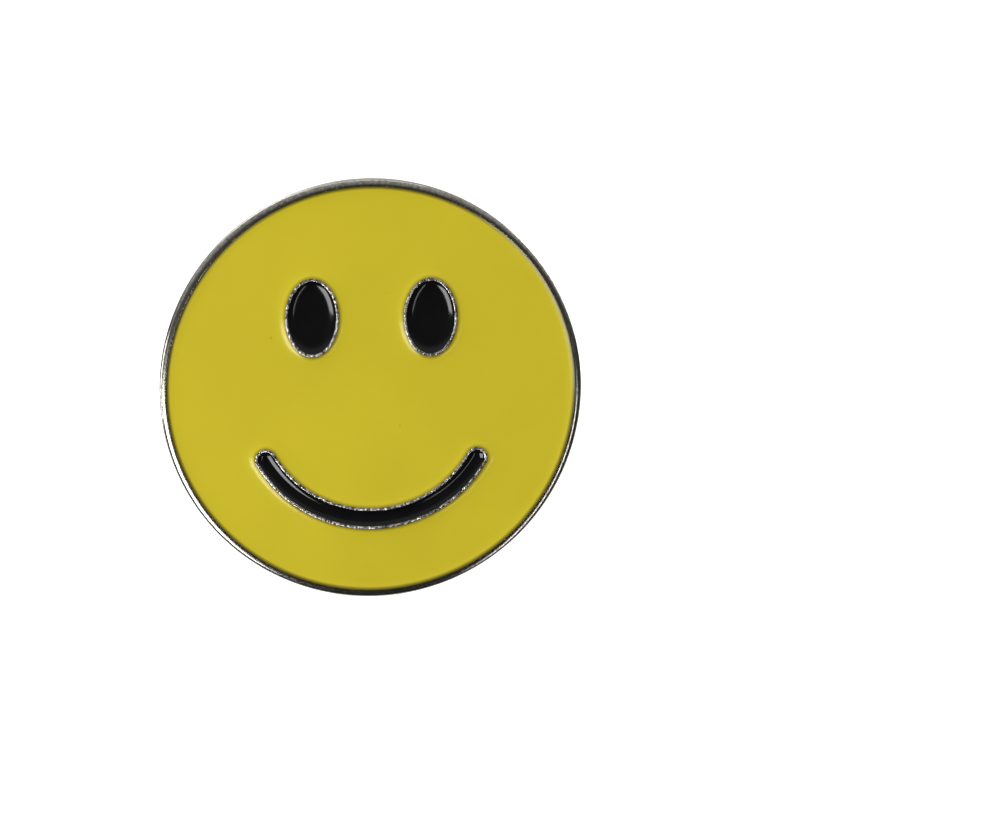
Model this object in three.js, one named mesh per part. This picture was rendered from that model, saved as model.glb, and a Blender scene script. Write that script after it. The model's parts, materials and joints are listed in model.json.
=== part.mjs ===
// Soft-enamel lapel badge with a butterfly clutch, in millimetres.
// +Z is up as worn and the face looks along -Y. The origin is the centre of the plate's flat back.
import * as THREE from "three";

// Plate
const PLATE_RADIUS = 15;
const PLATE_THICKNESS = 1.3;
const FRONT_ROUND = 0.25;
const BACK_ROUND = 0.15;
const RIM_WIDTH = 0.47;
const LINE_WIDTH = 0.22;
const CELL_DEPTH = 0.4;
const BACK_CENTRE_RADIUS = 1.7;

// Face design: two plain oval eyes and one plain arc for a mouth
const EYE_SPACING = 8.4;
const EYE_HEIGHT_ON_FACE = 5.2;
const EYE_HALF_WIDTH = 1.7;
const EYE_HALF_HEIGHT = 2.6;
const MOUTH_RADIUS = 8.7;
const MOUTH_CENTRE_HEIGHT = -0.6;
const MOUTH_HALF_SWEEP = THREE.MathUtils.degToRad(60);
const MOUTH_HALF_WIDTH = 0.55;

// Enamel fills
const ENAMEL_RECESS = 0.15;
const ENAMEL_CLEARANCE = 0.02;

// Pin post, brazed to the back above the centre so that the badge hangs upright
const POST_OFFSET = 4;
const POST_RADIUS = 0.5;
const POST_REACH = 8;
const POST_POINT_LENGTH = 2.9;
const POST_TIP_RADIUS = 0.05;
const POINT_SWELL = 0.5;
const POST_FOOT_RADIUS = 1.55;
const POST_FOOT_THICKNESS = 0.3;
const FOOT_EDGE_BREAK = 0.08;
const BRAZE_WIDTH = 0.38;
const BRAZE_HEIGHT = 0.24;
const BRAZE_HOLLOW_REACH = 0.45;
const BRAZE_HOLLOW_RISE = 0.35;
const SEAT_CLEARANCE = 0.02;

// Butterfly clutch, all about the post's axis
const CLUTCH_RADIUS = 5.55;
const CLUTCH_TURN = THREE.MathUtils.degToRad(198);
const EYELET_LIFT = 0.04;
const HUB_RADIUS = 1.95;
const HUB_HEIGHT = 1.68;
const HUB_WAIST = 0.1;
const HUB_WAIST_HEIGHT = 0.15;
const CRIMP_HEIGHT = 0.42;
const CRIMP_FLARE = 0.14;
const CRIMP_PETALS = 8;
const EYELET_TUBE_RADIUS = 0.95;
const EYELET_HEAD_RADIUS = 1.3;
const EYELET_HEAD_THICKNESS = 0.2;
const EYELET_EDGE_BREAK = 0.1;
const POST_RUNNING_CLEARANCE = 0.06;
const TURNING_CLEARANCE = 0.05;
const AXIAL_CLEARANCE = 0.03;
const DISH_SHEET = 0.3;
const DISH_FLOOR_RADIUS = 3.7;
const DISH_FLOOR_BLEND = 0.4;
const DISH_FLOOR_RISE = 0.04;
const DISH_WALL_RISE = 0.24;
const RIM_ROLL_RADIUS = 0.42;
const RIM_ROLL_LIFT = 0.85;
const RIM_ROLL_START = THREE.MathUtils.degToRad(200);
const RIM_ROLL_END = THREE.MathUtils.degToRad(-50);
const SPRING_SHEET = 0.28;
const SPRING_WIDTH = 3.7;
const SPRING_REACH = 2.75;

// Spring wings, which cross at the post with one to each side of it.
// A wing's inner edge is the one beside the other wing, and sides are measured from the post's axis.
const BEND_RADIUS = 0.36;
const BEND_GAP = 0.12;
const ROOT_INNER = -1.55;
const ROOT_OUTER = 2.05;
const ROOT_MIDDLE_INNER = -1.085;
const ROOT_LENGTH_SHARE = 0.16;
const STEM_INNER = 0.2;
const STEM_OUTER = 2.15;
const JAW_RAMP = 0.3;
const NOTCH_CORNER = 0.06;
const PADDLE_INNER = -2;
const PADDLE_OUTER = 2.3;
const SHOULDER_INNER = -1.7;
const SHOULDER_OUTER = 2.23;
const PADDLE_ROUND = 1.9;
const TIP_NARROWING = 0.22;
const GRIP_CLEARANCE = 0.06;
const PINCH_SWING = THREE.MathUtils.degToRad(5);
const STEM_BOW = 0.24;
const PADDLE_BOW = 0.42;
const CROSSING_HEIGHT = 5.05;
const PADDLE_HEIGHT = 5.95;
const WING_TOP_HEIGHT = 8.5;
const WING_TOP_REACH = 2.3;

// The root bend's middle line, in bend radii from the bend's centre, from the strip to the stem.
const BEND_LINE = [
  [0, -1],
  [-0.8, -0.6],
  [-1, 0],
  [-0.6, 1],
];
// Where the stem narrows, as shares of the way out from the post to the bend.
const STEM_NARROWS_FROM = 0.6;
const STEM_NARROWS_TO = 0.4;
// Where the stem and the paddle pass through halfway, as shares of their reach and rise.
const STEM_MIDDLE_RISE = 0.55;
const PADDLE_MIDDLE_REACH = 0.42;
const PADDLE_MIDDLE_RISE = 0.6;

// Facet counts
const PLATE_SIDES = 96;
const ROUND_STEPS = 4;
const EYE_SIDES = 40;
const MOUTH_STEPS = 24;
const MOUTH_END_STEPS = 6;
const POST_SIDES = 24;
const CLUTCH_SIDES = 48;
const RIM_ROLL_STEPS = 12;
const WING_STEPS = 34;
const WING_STRIPS = 6;
const LEAST_ROW_SHARE = 0.004;
const BISECTIONS = 40;

// Heights above the plate's back, along the post
const footTop = SEAT_CLEARANCE + POST_FOOT_THICKNESS;
const hubBottom = footTop + EYELET_LIFT;
const hubTop = hubBottom + HUB_HEIGHT;
const dishUnderside = hubTop + AXIAL_CLEARANCE;
const dishFloor = dishUnderside + DISH_SHEET;
const springUnderside = dishFloor + SEAT_CLEARANCE;
const springTop = springUnderside + SPRING_SHEET;
const headUnderside = springTop + AXIAL_CLEARANCE;
const boreRadius = POST_RADIUS + POST_RUNNING_CLEARANCE;

const nickelFace = { color: 0xb4b2ab, roughness: 0.34, metalness: 1 };
const nickelBright = { color: 0xc9c7c0, roughness: 0.16, metalness: 1 };
const steelPost = { color: 0xbdbcb8, roughness: 0.25, metalness: 1 };
const brazeAlloy = { color: 0xa8a294, roughness: 0.45, metalness: 1 };
const yellowEnamel = { color: 0xc8b92d, roughness: 0.3, metalness: 0 };
const blackEnamel = { color: 0x0b0b0c, roughness: 0.15, metalness: 0 };

function part(name, geometry, finish) {
  const mesh = new THREE.Mesh(geometry, new THREE.MeshStandardMaterial(finish));
  mesh.name = name;
  return mesh;
}

// ---- Solids --------------------------------------------------------------------------------

// A skin of triangles that is closed by its caps and bands.
class Skin {
  constructor() {
    this.corners = [];
  }

  triangle(a, b, c) {
    for (const p of [a, b, c]) this.corners.push(p.x, p.y, p.z);
  }

  quad(a, b, c, d) {
    this.triangle(a, b, c);
    this.triangle(a, c, d);
  }

  // A flat region at height z, looking up or down.
  cap(contour, holes, z, up) {
    const points = [contour, ...holes].flat().map((p) => new THREE.Vector3(p.x, p.y, z));
    for (const [a, b, c] of THREE.ShapeUtils.triangulateShape(contour, holes)) {
      if (up) this.triangle(points[a], points[b], points[c]);
      else this.triangle(points[a], points[c], points[b]);
    }
  }

  // A wall from one loop to another with as many points. It faces outwards when it climbs.
  band(from, fromZ, to, toZ) {
    const count = from.length;
    for (let i = 0; i < count; i++) {
      const j = (i + 1) % count;
      this.quad(
        new THREE.Vector3(from[i].x, from[i].y, fromZ),
        new THREE.Vector3(from[j].x, from[j].y, fromZ),
        new THREE.Vector3(to[j].x, to[j].y, toZ),
        new THREE.Vector3(to[i].x, to[i].y, toZ),
      );
    }
  }

  geometry() {
    const made = new THREE.BufferGeometry();
    made.setAttribute("position", new THREE.Float32BufferAttribute(this.corners, 3));
    made.computeVertexNormals();
    return made;
  }
}

// ---- Outlines on the face ------------------------------------------------------------------

function ovalLoop(x, y, halfWidth, halfHeight, sides) {
  const loop = [];
  for (let i = 0; i < sides; i++) {
    const turn = (2 * Math.PI * i) / sides;
    loop.push(new THREE.Vector2(x + halfWidth * Math.cos(turn), y + halfHeight * Math.sin(turn)));
  }
  return loop;
}

function circleLoop(radius) {
  return ovalLoop(0, 0, radius, radius, PLATE_SIDES);
}

// A band of even width along an arc that opens upwards, with round ends, run anticlockwise.
function smileLoop(halfWidth) {
  const centre = new THREE.Vector2(0, MOUTH_CENTRE_HEIGHT);
  const loop = [];
  const onArc = (radius, turn) =>
    loop.push(
      new THREE.Vector2(
        centre.x + radius * Math.sin(turn),
        centre.y - radius * Math.cos(turn),
      ),
    );
  const roundEnd = (turn, side) => {
    const endX = centre.x + MOUTH_RADIUS * Math.sin(turn);
    const endY = centre.y - MOUTH_RADIUS * Math.cos(turn);
    const outward = turn - Math.PI / 2;
    for (let i = 1; i < MOUTH_END_STEPS; i++) {
      const swing = outward + (side > 0 ? 0 : Math.PI) + (Math.PI * i) / MOUTH_END_STEPS;
      loop.push(
        new THREE.Vector2(endX + halfWidth * Math.cos(swing), endY + halfWidth * Math.sin(swing)),
      );
    }
  };
  for (let i = 0; i <= MOUTH_STEPS; i++)
    onArc(MOUTH_RADIUS + halfWidth, MOUTH_HALF_SWEEP * ((2 * i) / MOUTH_STEPS - 1));
  roundEnd(MOUTH_HALF_SWEEP, 1);
  for (let i = MOUTH_STEPS; i >= 0; i--)
    onArc(MOUTH_RADIUS - halfWidth, MOUTH_HALF_SWEEP * ((2 * i) / MOUTH_STEPS - 1));
  roundEnd(-MOUTH_HALF_SWEEP, -1);
  return loop;
}

// Each small cell's outline, grown by an amount.
const eyeCell = (side) => (grow) =>
  ovalLoop(
    (side * EYE_SPACING) / 2,
    EYE_HEIGHT_ON_FACE,
    EYE_HALF_WIDTH + grow,
    EYE_HALF_HEIGHT + grow,
    EYE_SIDES,
  );
const smallCells = {
  enamel_eye_left: eyeCell(-1),
  enamel_eye_right: eyeCell(1),
  enamel_mouth: (grow) => smileLoop(MOUTH_HALF_WIDTH + grow),
};
const fieldRadius = PLATE_RADIUS - RIM_WIDTH;

// ---- Plate and enamel, drawn flat with the face looking along the drawing's +Z -----------------

function badgePlate() {
  const skin = new Skin();
  const front = PLATE_THICKNESS;
  const floor = PLATE_THICKNESS - CELL_DEPTH;
  const edge = [];
  const roundOff = (round, height, from) => {
    for (let i = 0; i <= ROUND_STEPS; i++) {
      const turn = from + (Math.PI * i) / (2 * ROUND_STEPS);
      edge.push([
        PLATE_RADIUS - round + round * Math.cos(turn),
        height + round * Math.sin(turn),
      ]);
    }
  };
  roundOff(BACK_ROUND, BACK_ROUND, -Math.PI / 2);
  roundOff(FRONT_ROUND, front - FRONT_ROUND, 0);
  const backCentre = circleLoop(BACK_CENTRE_RADIUS);
  skin.cap(backCentre, [], 0, false);
  skin.band(backCentre, 0, circleLoop(edge[0][0]), 0);
  for (let i = 1; i < edge.length; i++)
    skin.band(circleLoop(edge[i - 1][0]), edge[i - 1][1], circleLoop(edge[i][0]), edge[i][1]);
  const field = circleLoop(fieldRadius);
  skin.band(circleLoop(PLATE_RADIUS - FRONT_ROUND), front, field, front);
  skin.band(field, front, field, floor);
  const lines = Object.values(smallCells).map((cell) => cell(LINE_WIDTH));
  skin.cap(field, lines, floor, true);
  for (const cell of Object.values(smallCells)) {
    const outer = cell(LINE_WIDTH);
    const inner = cell(0);
    skin.band(outer, floor, outer, front);
    skin.band(outer, front, inner, front);
    skin.band(inner, front, inner, floor);
    skin.cap(inner, [], floor, true);
  }
  return part("badge_plate", skin.geometry(), nickelFace);
}

function fill(name, contour, holes, finish) {
  const shape = new THREE.Shape(contour);
  for (const hole of holes) shape.holes.push(new THREE.Path(hole));
  const depth = CELL_DEPTH - ENAMEL_RECESS - ENAMEL_CLEARANCE;
  const geometry = new THREE.ExtrudeGeometry(shape, { depth, bevelEnabled: false, steps: 1 });
  geometry.translate(0, 0, PLATE_THICKNESS - CELL_DEPTH + ENAMEL_CLEARANCE);
  return part(name, geometry, finish);
}

function enamelFills() {
  const lines = Object.values(smallCells).map((cell) => cell(LINE_WIDTH + ENAMEL_CLEARANCE));
  const field = fill("enamel_field", circleLoop(fieldRadius - ENAMEL_CLEARANCE), lines, yellowEnamel);
  const small = Object.entries(smallCells).map(([name, cell]) =>
    fill(name, cell(-ENAMEL_CLEARANCE), [], blackEnamel),
  );
  return [field, ...small];
}

// ---- Turned pieces on the post's axis --------------------------------------------------------

function turned(profile, sides) {
  return new THREE.LatheGeometry(
    profile.map(([radius, height]) => new THREE.Vector2(radius, height)),
    sides,
  );
}

function pinPost() {
  const profile = [
    [0, SEAT_CLEARANCE],
    [POST_FOOT_RADIUS, SEAT_CLEARANCE],
    [POST_FOOT_RADIUS, footTop - FOOT_EDGE_BREAK],
    [POST_FOOT_RADIUS - FOOT_EDGE_BREAK, footTop],
    [POST_RADIUS, footTop],
    [POST_RADIUS, POST_REACH - POST_POINT_LENGTH],
    [POST_RADIUS * POINT_SWELL, POST_REACH - POST_POINT_LENGTH / 2],
    [POST_TIP_RADIUS, POST_REACH - POST_TIP_RADIUS],
    [0, POST_REACH],
  ];
  return part("pin_post", turned(profile, POST_SIDES), steelPost);
}

function brazeRing() {
  const inner = POST_FOOT_RADIUS + SEAT_CLEARANCE;
  const profile = [
    [inner, SEAT_CLEARANCE],
    [inner + BRAZE_WIDTH, SEAT_CLEARANCE],
    [
      inner + BRAZE_WIDTH * BRAZE_HOLLOW_REACH,
      SEAT_CLEARANCE + BRAZE_HEIGHT * BRAZE_HOLLOW_RISE,
    ],
    [inner, SEAT_CLEARANCE + BRAZE_HEIGHT],
    [inner, SEAT_CLEARANCE],
  ];
  return part("braze_ring", turned(profile, CLUTCH_SIDES), brazeAlloy);
}

// A hollow rivet. Its hub stands on the post's foot and its lower edge is crimped into petals.
function clutchEyelet() {
  const headTop = headUnderside + EYELET_HEAD_THICKNESS;
  const crimpTop = hubBottom + CRIMP_HEIGHT;
  const profile = [
    [boreRadius, hubBottom],
    [HUB_RADIUS - EYELET_EDGE_BREAK, hubBottom],
    [HUB_RADIUS, hubBottom + EYELET_EDGE_BREAK],
    [HUB_RADIUS - HUB_WAIST, crimpTop],
    [HUB_RADIUS, crimpTop + HUB_WAIST_HEIGHT],
    [HUB_RADIUS, hubTop],
    [EYELET_TUBE_RADIUS, hubTop],
    [EYELET_TUBE_RADIUS, headUnderside],
    [EYELET_HEAD_RADIUS, headUnderside],
    [EYELET_HEAD_RADIUS - EYELET_EDGE_BREAK, headTop],
    [boreRadius + EYELET_EDGE_BREAK, headTop],
    [boreRadius, headTop - EYELET_EDGE_BREAK],
    [boreRadius, hubBottom],
  ];
  const geometry = turned(profile, CLUTCH_SIDES);
  const position = geometry.attributes.position;
  for (let i = 0; i < position.count; i++) {
    const x = position.getX(i);
    const z = position.getZ(i);
    const radius = Math.hypot(x, z);
    const drop = (crimpTop - position.getY(i)) / CRIMP_HEIGHT;
    if (radius < EYELET_TUBE_RADIUS || drop <= 0) continue;
    const petal = Math.max(0, Math.cos(CRIMP_PETALS * Math.atan2(z, x)));
    const flared = (radius + CRIMP_FLARE * petal * drop) / radius;
    position.setX(i, x * flared);
    position.setZ(i, z * flared);
  }
  return part("clutch_eyelet", geometry, nickelBright);
}

// The closed outline of a sheet of even thickness along a flat path.
function sheetOutline(path, thickness) {
  const left = [];
  const right = [];
  path.forEach((p, i) => {
    const before = path[Math.max(i - 1, 0)];
    const after = path[Math.min(i + 1, path.length - 1)];
    const along = new THREE.Vector2().subVectors(after, before).normalize();
    const across = new THREE.Vector2(-along.y, along.x).multiplyScalar(thickness / 2);
    left.unshift([p.x + across.x, p.y + across.y]);
    right.push([p.x - across.x, p.y - across.y]);
  });
  return [...right, ...left, right[0]];
}

// A drawn cup with a flat floor, whose rim is rolled outwards and ends in a thin lip.
function clutchDish() {
  const middle = dishUnderside + DISH_SHEET / 2;
  const rollX = CLUTCH_RADIUS - DISH_SHEET / 2 - RIM_ROLL_RADIUS;
  const rollY = middle + RIM_ROLL_LIFT;
  const path = [
    new THREE.Vector2(EYELET_TUBE_RADIUS + TURNING_CLEARANCE, middle),
    new THREE.Vector2(DISH_FLOOR_RADIUS - DISH_FLOOR_BLEND, middle),
    new THREE.Vector2(DISH_FLOOR_RADIUS, middle + DISH_FLOOR_RISE),
    new THREE.Vector2(
      (DISH_FLOOR_RADIUS + rollX - RIM_ROLL_RADIUS) / 2,
      middle + DISH_WALL_RISE,
    ),
  ];
  for (let i = 0; i <= RIM_ROLL_STEPS; i++) {
    const turn = THREE.MathUtils.lerp(RIM_ROLL_START, RIM_ROLL_END, i / RIM_ROLL_STEPS);
    path.push(
      new THREE.Vector2(
        rollX + RIM_ROLL_RADIUS * Math.cos(turn),
        rollY + RIM_ROLL_RADIUS * Math.sin(turn),
      ),
    );
  }
  return part("clutch_dish", turned(sheetOutline(path, DISH_SHEET), CLUTCH_SIDES), nickelBright);
}

// ---- Spring ------------------------------------------------------------------------------------

// The strip on the dish's floor, round-ended across its corners, held under the eyelet's head.
function springBase() {
  const outline = new THREE.Shape();
  const halfWidth = SPRING_WIDTH / 2;
  outline.moveTo(-SPRING_REACH, -halfWidth);
  outline.lineTo(SPRING_REACH, -halfWidth);
  outline.lineTo(SPRING_REACH, halfWidth);
  outline.lineTo(-SPRING_REACH, halfWidth);
  outline.closePath();
  const hole = new THREE.Path();
  hole.absarc(0, 0, EYELET_TUBE_RADIUS + TURNING_CLEARANCE, 0, 2 * Math.PI, true);
  outline.holes.push(hole);
  const geometry = new THREE.ExtrudeGeometry(outline, {
    depth: SPRING_SHEET,
    bevelEnabled: false,
    curveSegments: CLUTCH_SIDES / 2,
  });
  geometry.rotateX(-Math.PI / 2);
  geometry.translate(0, springUnderside, 0);
  return part("spring_base", geometry, nickelBright);
}

// The notch round the post. Above it the paddle starts far enough out to swing in by the pinch.
const bendX = -SPRING_REACH - BEND_GAP;
const bendY = springUnderside + SPRING_SHEET / 2 + BEND_RADIUS;
const notchSide = POST_RADIUS + GRIP_CLEARANCE;
const notchStart = -notchSide - SPRING_SHEET / 2;
const pinchTravel = (PADDLE_HEIGHT - bendY) * Math.sin(PINCH_SWING);
const notchEnd = notchSide + SPRING_SHEET / 2 + pinchTravel;

// The wing's middle line from its bend to its tip, in the plane of its swing.
const wingLine = new THREE.CatmullRomCurve3(
  [
    ...BEND_LINE.map(([x, y]) => [bendX + BEND_RADIUS * x, bendY + BEND_RADIUS * y]),
    [bendX / 2, THREE.MathUtils.lerp(bendY, CROSSING_HEIGHT, STEM_MIDDLE_RISE)],
    [0, CROSSING_HEIGHT],
    [notchEnd, PADDLE_HEIGHT],
    [
      THREE.MathUtils.lerp(notchEnd, WING_TOP_REACH, PADDLE_MIDDLE_REACH),
      THREE.MathUtils.lerp(PADDLE_HEIGHT, WING_TOP_HEIGHT, PADDLE_MIDDLE_RISE),
    ],
    [WING_TOP_REACH, WING_TOP_HEIGHT],
  ].map(([x, y]) => new THREE.Vector3(x, y, 0)),
);
const wingLength = wingLine.getLength();

// How far along the line, from 0 to 1, the part of it above the bend reaches x.
function alongAt(x) {
  let low = ROOT_LENGTH_SHARE;
  let high = 1;
  for (let i = 0; i < BISECTIONS; i++) {
    const middle = (low + high) / 2;
    if (wingLine.getPointAt(middle).x < x) low = middle;
    else high = middle;
  }
  return (low + high) / 2;
}

// The wing's edges as [along, inner, outer]: wide root, narrow stem notched round the post, paddle.
const paddleFrom = alongAt(notchEnd);
const wingEdges = [
  [0, ROOT_INNER, ROOT_OUTER],
  [ROOT_LENGTH_SHARE, ROOT_INNER, ROOT_OUTER],
  [alongAt(bendX * STEM_NARROWS_FROM), ROOT_MIDDLE_INNER, ROOT_OUTER],
  [alongAt(bendX * STEM_NARROWS_TO), STEM_INNER, STEM_OUTER],
  [alongAt(notchStart - NOTCH_CORNER), STEM_INNER, STEM_OUTER],
  [alongAt(notchStart), notchSide, STEM_OUTER],
  [paddleFrom - JAW_RAMP / wingLength, notchSide, STEM_OUTER],
  [paddleFrom, STEM_INNER, STEM_OUTER],
  [paddleFrom + JAW_RAMP / wingLength, SHOULDER_INNER, SHOULDER_OUTER],
  [paddleFrom + (2 * JAW_RAMP) / wingLength, PADDLE_INNER, PADDLE_OUTER],
];
const roundFrom = 1 - PADDLE_ROUND / wingLength;
const paddleMiddle = (PADDLE_INNER + PADDLE_OUTER) / 2;

function edgeAt(along, column) {
  const next = wingEdges.findIndex((edge) => edge[0] > along);
  if (next < 0) return wingEdges[wingEdges.length - 1][column];
  if (next === 0) return wingEdges[0][column];
  const [a, b] = [wingEdges[next - 1], wingEdges[next]];
  return THREE.MathUtils.mapLinear(along, a[0], b[0], a[column], b[column]);
}

// The point of the wing's middle sheet, and its normal, at a place along and across it.
function wingPoint(along, across) {
  const onLine = wingLine.getPointAt(along);
  const tangent = wingLine.getTangentAt(along);
  const normal = new THREE.Vector3(-tangent.y, tangent.x, 0);
  let side = THREE.MathUtils.lerp(edgeAt(along, 1), edgeAt(along, 2), across);
  if (along > roundFrom) {
    const out = (along - roundFrom) / (1 - roundFrom);
    const narrowing = Math.max(TIP_NARROWING, Math.sqrt(1 - out * out));
    side = paddleMiddle + (side - paddleMiddle) * narrowing;
  }
  const stem = THREE.MathUtils.smoothstep(along, ROOT_LENGTH_SHARE / 2, alongAt(notchStart));
  const paddle = THREE.MathUtils.smoothstep(along, paddleFrom, roundFrom);
  const bow = THREE.MathUtils.lerp(STEM_BOW * stem, PADDLE_BOW, paddle);
  const reach = (side - paddleMiddle) / (PADDLE_OUTER - paddleMiddle);
  const point = onLine.clone().addScaledVector(normal, bow * (1 - reach * reach) - bow * paddle);
  point.z = side;
  return { point, normal };
}

function wingGeometry() {
  const stops = new Set(wingEdges.map((edge) => edge[0]));
  for (let i = 0; i <= WING_STEPS; i++) stops.add(i / WING_STEPS);
  const sorted = [...stops].sort((a, b) => a - b);
  const rows = sorted.filter((stop, i) => i === 0 || stop - sorted[i - 1] > LEAST_ROW_SHARE);
  const sheet = (sign) =>
    rows.map((along) => {
      const row = [];
      for (let j = 0; j <= WING_STRIPS; j++) {
        const { point, normal } = wingPoint(along, j / WING_STRIPS);
        row.push(point.addScaledVector(normal, (sign * SPRING_SHEET) / 2));
      }
      return row;
    });
  const top = sheet(1);
  const under = sheet(-1);
  const skin = new Skin();
  const last = rows.length - 1;
  for (let i = 0; i < last; i++) {
    for (let j = 0; j < WING_STRIPS; j++) {
      skin.quad(top[i][j], top[i][j + 1], top[i + 1][j + 1], top[i + 1][j]);
      skin.quad(under[i][j], under[i + 1][j], under[i + 1][j + 1], under[i][j + 1]);
    }
    skin.quad(top[i][0], top[i + 1][0], under[i + 1][0], under[i][0]);
    skin.quad(
      top[i][WING_STRIPS],
      under[i][WING_STRIPS],
      under[i + 1][WING_STRIPS],
      top[i + 1][WING_STRIPS],
    );
  }
  for (let j = 0; j < WING_STRIPS; j++) {
    skin.quad(top[0][j], under[0][j], under[0][j + 1], top[0][j + 1]);
    skin.quad(top[last][j], top[last][j + 1], under[last][j + 1], under[last][j]);
  }
  return skin.geometry();
}

// ---- Assembly ------------------------------------------------------------------------------

const face = new THREE.Group();
face.rotation.x = Math.PI / 2;
face.add(badgePlate(), ...enamelFills());

const post = new THREE.Group();
post.position.z = POST_OFFSET;
post.add(pinPost(), brazeRing(), clutchEyelet());

const wingLeft = part("spring_wing_left", wingGeometry(), nickelBright);
const wingRight = part("spring_wing_right", wingGeometry(), nickelBright);
wingRight.rotation.y = Math.PI;

const clutch = new THREE.Group();
clutch.rotation.y = CLUTCH_TURN;
clutch.add(clutchDish(), springBase(), wingLeft, wingRight);
post.add(clutch);

const badge = new THREE.Group();
badge.add(face, post);

export default badge;
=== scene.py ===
"""Soft-enamel lapel badge with a butterfly clutch: the finished look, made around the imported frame.

Every piece is modelled in millimetres, then brought to metres as it is put in its place.
Face pieces are drawn flat, with the front looking up. Pieces on the post are drawn about the Y axis.
"""

import json
import math

import bmesh
import bpy
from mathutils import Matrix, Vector


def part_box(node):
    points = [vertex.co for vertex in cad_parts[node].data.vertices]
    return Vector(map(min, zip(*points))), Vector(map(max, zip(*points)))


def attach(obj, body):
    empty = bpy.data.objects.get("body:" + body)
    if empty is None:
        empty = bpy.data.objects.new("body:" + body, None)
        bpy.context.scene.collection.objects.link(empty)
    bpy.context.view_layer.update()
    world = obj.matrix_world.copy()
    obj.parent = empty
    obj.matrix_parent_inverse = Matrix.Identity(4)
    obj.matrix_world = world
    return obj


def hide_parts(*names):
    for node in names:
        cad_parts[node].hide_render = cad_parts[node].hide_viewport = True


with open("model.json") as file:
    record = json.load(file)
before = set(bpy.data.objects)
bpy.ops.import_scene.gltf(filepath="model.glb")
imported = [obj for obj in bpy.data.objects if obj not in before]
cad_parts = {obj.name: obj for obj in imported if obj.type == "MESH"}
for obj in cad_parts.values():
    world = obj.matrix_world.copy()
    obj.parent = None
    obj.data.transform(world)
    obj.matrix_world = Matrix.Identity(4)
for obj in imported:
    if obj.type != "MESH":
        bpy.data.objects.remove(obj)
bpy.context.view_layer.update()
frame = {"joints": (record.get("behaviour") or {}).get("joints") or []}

# The pieces are sized in millimetres, and the room in metres.
METRE = 1000.0
ENAMEL_CLEARANCE = 0.02


def cad_mm(node):
    low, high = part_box(node)
    return low * METRE, high * METRE


# ---- Sizes taken from the frame, in millimetres ----------------------------------------------

plate_low, plate_high = cad_mm("badge_plate")
field_low, field_high = cad_mm("enamel_field")
eye_low, eye_high = cad_mm("enamel_eye_right")
mouth_low, _ = cad_mm("enamel_mouth")
post_low, post_high = cad_mm("pin_post")
braze_low, braze_high = cad_mm("braze_ring")
eyelet_low, eyelet_high = cad_mm("clutch_eyelet")
dish_low, dish_high = cad_mm("clutch_dish")
strip_low, strip_high = cad_mm("spring_base")

PLATE_RADIUS = (plate_high.x - plate_low.x) / 2
PLATE_THICKNESS = plate_high.y - plate_low.y
FIELD_RADIUS = (field_high.x - field_low.x) / 2 + ENAMEL_CLEARANCE
ENAMEL_RECESS = field_low.y - plate_low.y
CELL_FLOOR = -field_high.y - ENAMEL_CLEARANCE
EYE_X = (eye_high.x + eye_low.x) / 2
EYE_Y = (eye_high.z + eye_low.z) / 2
EYE_HALF_WIDTH = (eye_high.x - eye_low.x) / 2 + ENAMEL_CLEARANCE
EYE_HALF_HEIGHT = (eye_high.z - eye_low.z) / 2 + ENAMEL_CLEARANCE
POST_Z = (post_high.z + post_low.z) / 2
POST_TIP = post_high.y
FOOT_RADIUS = (post_high.x - post_low.x) / 2
BRAZE_RADIUS = (braze_high.x - braze_low.x) / 2
HUB_BOTTOM = eyelet_low.y
EYELET_TOP = eyelet_high.y
DISH_RADIUS = (dish_high.x - dish_low.x) / 2
DISH_BOTTOM = dish_low.y
STRIP_BOTTOM = strip_low.y
STRIP_SHEET = strip_high.y - strip_low.y

pinch = next(j for j in frame["joints"] if j["name"] == "wing_left_pinch")
CLUTCH_TURN = math.atan2(pinch["axis"][0], pinch["axis"][2])

# ---- Sizes of the finish -----------------------------------------------------------------------

PLATE_SIDES = 192
CORNER_ROUND = 0.25
BACK_CORNER_ROUND = 0.15
RIM_FLAT = PLATE_RADIUS - FIELD_RADIUS - CORNER_ROUND
RIM_INNER_ROUND = 0.04
FACE_REACH = PLATE_RADIUS - 1.5
LINE_WIDTH = 0.22
LINE_ROUND = 0.05
LINE_ROOT = 0.06
MOUTH_RADIUS = 8.7
MOUTH_HALF_SWEEP = math.radians(60)
MOUTH_HALF_WIDTH = 0.55
MOUTH_CENTRE_Y = mouth_low.z - ENAMEL_CLEARANCE + MOUTH_RADIUS + MOUTH_HALF_WIDTH
EYE_SIDES = 72
MOUTH_END_SIDES = 32
MOUTH_STEPS = 30
ENAMEL_BITE = 0.006
ENAMEL_BOTTOM = CELL_FLOOR + 0.002
EYE_RECESS = 0.2
MOUTH_RECESS = 0.18
MENISCUS_TOP = 0.035
MENISCUS_REACH = 0.3
MENISCUS_STOPS = (0.05, 0.11, 0.18, 0.26, 0.36, 0.48, 0.62, 0.8, 1.05)
SKIN_TOP = PLATE_THICKNESS - MENISCUS_TOP
FIELD_SINK = 1.1
EYE_SINK = 0.9
MOUTH_SINK = 0.4
# Width of the painted shade band on the yellow enamel next to the rim.
RIM_SHADE = 0.27
NEAR = 0.001


# ---- Bench work --------------------------------------------------------------------------------


def put_down():
    if bpy.context.mode != "OBJECT":
        bpy.ops.object.mode_set(mode="OBJECT")
    bpy.ops.object.select_all(action="DESELECT")


def take_up(piece):
    put_down()
    piece.select_set(True)
    bpy.context.view_layer.objects.active = piece


def open_mesh(piece):
    take_up(piece)
    bpy.ops.object.mode_set(mode="EDIT")
    bpy.ops.mesh.select_mode(type="VERT")


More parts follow.
